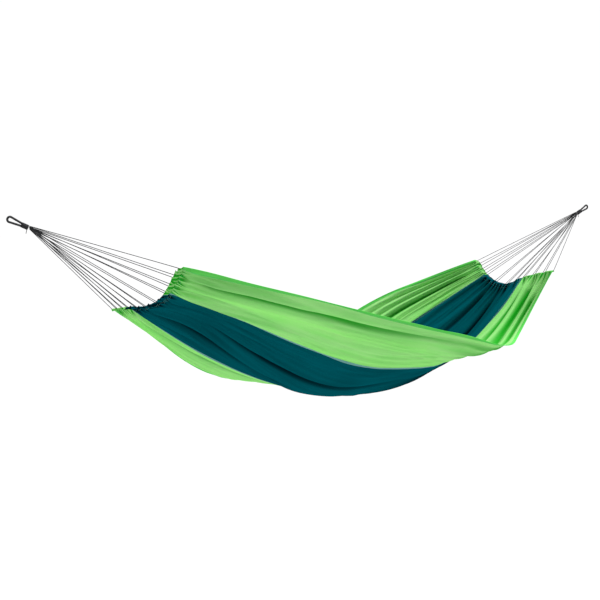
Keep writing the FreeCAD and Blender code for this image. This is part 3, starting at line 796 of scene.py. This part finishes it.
# ---------------------------------------------------------------- stitching
# Lock stitches of pale thread: two rows along each felled seam, one along each side hem and two
# rows that close the end channels, on both faces of the cloth.
STITCH_PITCH, STITCH_LENGTH, STITCH_THICKNESS = 0.0034, 0.0026, 0.00055
STITCH_SIDES = 5
STITCH_INSET = 0.003                       # from a seam's middle, or from a side hem's inner edge
CHANNEL_ROWS = (0.004, 0.010)              # from an end hem to the two rows that close it


def add_stitches(name, rows):
    """One mesh of many small stitches. Each is a ring section that swells from a point to its
    full thickness and back, placed along the row and standing half proud of the cloth."""
    swell = np.array([0.55, 1.0, 1.0, 0.55])
    reach = np.array([-0.5, -0.28, 0.28, 0.5]) * STITCH_LENGTH
    angle = np.linspace(0, 2 * np.pi, STITCH_SIDES, endpoint=False)
    meshes = []
    for middle, along, normal in rows:
        aside = unit(np.cross(along, normal))
        ring = (aside[:, None, None] * (np.cos(angle) * swell[:, None])[..., None]
                + normal[:, None, None] * (np.sin(angle) * swell[:, None])[..., None])
        meshes.append(middle[:, None, None] + along[:, None, None] * reach[:, None, None]
                      + ring * STITCH_THICKNESS / 2)
    points = np.concatenate(meshes)
    start = np.arange(len(points))[:, None] * 4 * STITCH_SIDES
    tube = grid_faces(4, STITCH_SIDES, True)[:, ::-1]
    sides = (tube[None] + start[..., None]).reshape(-1, 4)
    ring = np.arange(STITCH_SIDES)
    first = ring + start
    last = ring[::-1] + start + 3 * STITCH_SIDES
    return add_mesh(name, points, sides.tolist() + first.tolist() + last.tolist())


def even_steps(trace, along):
    """Values of along at every stitch pitch of length on a traced line."""
    length = lengths_along(trace)
    return np.interp(np.arange(STITCH_PITCH, length[-1] - STITCH_PITCH, STITCH_PITCH), length, along)


def row_along(line, offset, lift):
    """Stitches that follow a line of the cloth at an offset, at the pitch along its length."""
    fine = np.linspace(0, 1, 2000)
    trace = folded_cloth(fine, np.clip(place_beside(fine, line, offset), 0, 4))
    share = even_steps(trace, fine)
    place = np.clip(place_beside(share, line, offset), 0, 4)
    ahead = folded_cloth(share + 5e-4, place, lift) - folded_cloth(share - 5e-4, place, lift)
    return folded_cloth(share, place, lift), unit(ahead), cloth_frame(share, place)[3]


def row_across(share, lift):
    """Stitches that cross the cloth from the near hem to the far one at one share of its length."""
    fine = np.linspace(0.02, 3.98, 2400)
    trace = folded_cloth(np.full_like(fine, share), fine)
    place = even_steps(trace, fine)
    share = np.full_like(place, share)
    ahead = folded_cloth(share, place + 2e-3, lift) - folded_cloth(share, place - 2e-3, lift)
    return folded_cloth(share, place, lift), unit(ahead), cloth_frame(share, place)[3]


def sewing_thread():
    """Pale spun thread, twisted: a slanting wave in object space over a matt fibre noise."""
    material, shader, start = start_material("sewing_thread")
    where = start.node("TexCoord", output="Object")
    twist = start.node("TexWave", {"bands_direction": "DIAGONAL"},
                       {"Vector": where, "Scale": 900.0, "Distortion": 2.0})
    fibre = start.node("TexNoise", {}, {"Vector": where, "Scale": 4000.0, "Detail": 1.0})
    colour = start.node("MixRGB", {}, {"Fac": twist * 0.5 + fibre * 0.3, "Color1": linear(96, 168, 150),
                                       "Color2": linear(150, 205, 176)})
    start.tree.links.new(colour.socket, shader.inputs["Base Color"])
    start.tree.links.new((fibre * 0.2 + 0.6).socket, shader.inputs["Roughness"])
    return material


thread = sewing_thread()
seam_lift, hem_lift, cloth_lift = SEAM_THICKNESS / 2, HEM_THICKNESS / 2, CLOTH_THICKNESS / 2
seam_rows = {"near_seam_stitches": NEAR_SEAM, "far_seam_stitches": FAR_SEAM}
stitch_pieces = [
    add_stitches(name, [row_along(line, offset, lift)
                        for offset in (-STITCH_INSET, STITCH_INSET)
                        for lift in (seam_lift, -seam_lift)])
    for name, line in seam_rows.items()]
stitch_pieces.append(add_stitches("near_hem_stitches", [
    row_along(NEAR_HEM, HEM_WIDTH - STITCH_INSET, lift) for lift in (hem_lift, -hem_lift)]))
stitch_pieces.append(add_stitches("far_hem_stitches", [
    row_along(FAR_HEM, STITCH_INSET - HEM_WIDTH, lift) for lift in (hem_lift, -hem_lift)]))
for side in SIDES:
    shares = [inset / BED_REACH for inset in CHANNEL_ROWS]
    stitch_pieces.append(add_stitches(side + "_channel_stitches", [
        row_across(share if side == "left" else 1 - share, lift)
        for share in shares for lift in (cloth_lift, -cloth_lift)]))
for piece in stitch_pieces:
    piece.data.materials.append(thread)
    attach(piece, "bed")

# ---------------------------------------------------------------- how the panels hang
# Each panel hangs at both ends from its own sleeves, three for a lime panel and four for the
# teal one, and a lime panel carries its side hem and its seam. The loop below only picks out
# each panel's sleeve names and keeps nothing.
channel_names = [sleeve.name for sleeve in sleeves.values()]
for panel, width, first, last, edges in (
        (near_panel, 0.40, 0, 3, [bands["near_turned_hem"], bands["near_felled_seam"]]),
        (middle_panel, 0.60, 3, 7, []),
        (far_panel, 0.40, 7, 10, [bands["far_turned_hem"], bands["far_felled_seam"]])):
    channel_names[first:last] + channel_names[10 + first:10 + last]

# ---------------------------------------------------------------- floor and light
# A plain pale floor well under the bed and a white surround, lit by one large soft light high up
# on the right, as in a bright studio.
FLOOR_Z = AXIS_Z - 3.4
FLOOR_REACH = 60.0
KEY_ELEVATION = math.radians(60)
KEY_HEADING = math.radians(-22)            # from +X to where it stands
KEY_STRENGTH, KEY_WIDTH = 4.2, math.radians(24)
SURROUND_LIGHT, SURROUND_SEEN = 0.72, 0.3  # its light, and what the camera sees beyond that


def pale_floor():
    """Matt pale studio floor with a faint slow mottle."""
    material, shader, start = start_material("pale_floor")
    where = start.node("TexCoord", output="Object")
    mottle = start.node("TexNoise", {}, {"Vector": where, "Scale": 0.6, "Detail": 3.0})
    colour = start.node("MixRGB", {}, {"Fac": mottle, "Color1": linear(197, 197, 197),
                                       "Color2": linear(195, 195, 196)})
    start.tree.links.new(colour.socket, shader.inputs["Base Color"])
    shader.inputs["Roughness"].default_value = 0.9
    shader.inputs["Specular IOR Level"].default_value = 0.0
    return material


floor_points = np.array([(-1, -1, 0), (1, -1, 0), (1, 1, 0), (-1, 1, 0)]) * FLOOR_REACH + [0, 0, FLOOR_Z]
floor = add_mesh("floor", floor_points, [[0, 1, 2, 3]])
floor.data.materials.append(pale_floor())

surround = bpy.data.worlds.new("white_surround")
surround.use_nodes = True
sky = Signal(surround.node_tree, None)
background = surround.node_tree.nodes["Background"]
background.inputs["Color"].default_value = (1.0, 1.0, 1.0, 1.0)
strength = sky.node("LightPath", output="Is Camera Ray") * SURROUND_SEEN + SURROUND_LIGHT
surround.node_tree.links.new(strength.socket, background.inputs["Strength"])
bpy.context.scene.world = surround
bpy.context.scene.view_settings.view_transform = "Standard"

key = bpy.data.objects.new("key_light", bpy.data.lights.new("key_light", "SUN"))
key.data.energy = KEY_STRENGTH
key.data.angle = KEY_WIDTH
key.rotation_euler = (math.pi / 2 - KEY_ELEVATION, 0, KEY_HEADING + math.pi / 2)
bpy.context.scene.collection.objects.link(key)
